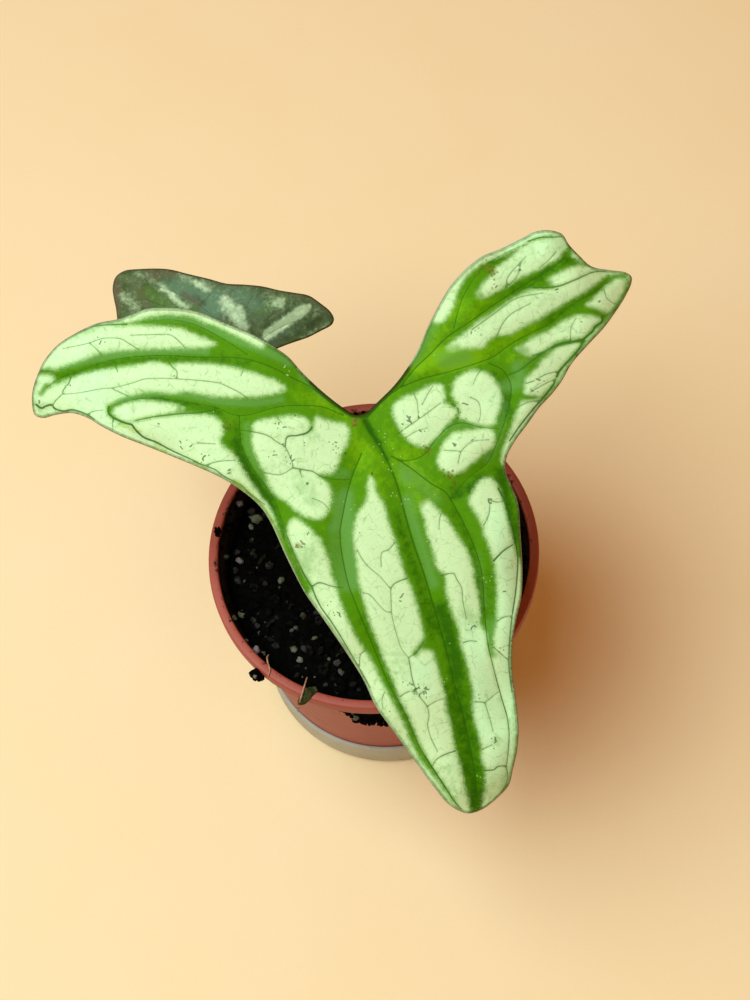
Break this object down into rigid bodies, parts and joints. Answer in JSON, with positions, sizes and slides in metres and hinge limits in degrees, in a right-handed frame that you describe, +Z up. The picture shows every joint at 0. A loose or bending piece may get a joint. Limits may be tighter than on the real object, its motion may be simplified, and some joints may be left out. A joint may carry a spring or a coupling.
{
  "type": "potted cercestis mirabilis",
  "caption": "Potted aroid with a large arrow-shaped leaf patterned in pale mint and green, a smaller dark leaf behind it, in a round tapered pot that stands in a low dish.",
  "frame": {"origin": "centre of the dish's flat underside, on the pot's axis", "axes": "+Z up along the pot's axis; -Y towards the viewer and the tip of the large leaf; +X to the right"},
  "size_m": [0.152, 0.1598, 0.1566],
  "materials": {
    "dish_plastic": "satin",
    "pot_plastic": "satin",
    "soil": "matte",
    "stem": "satin",
    "stalk": "satin",
    "leaf_patterned": "satin",
    "leaf_dark": "satin"
  },
  "bodies": {
    "root": {"dish": "dish_plastic", "pot": "pot_plastic", "soil": "soil", "stem": "stem", "stalk_large": "stalk", "stalk_small": "stalk", "leaf_large": "leaf_patterned", "leaf_small": "leaf_dark"}
  },
  "joints": []
}
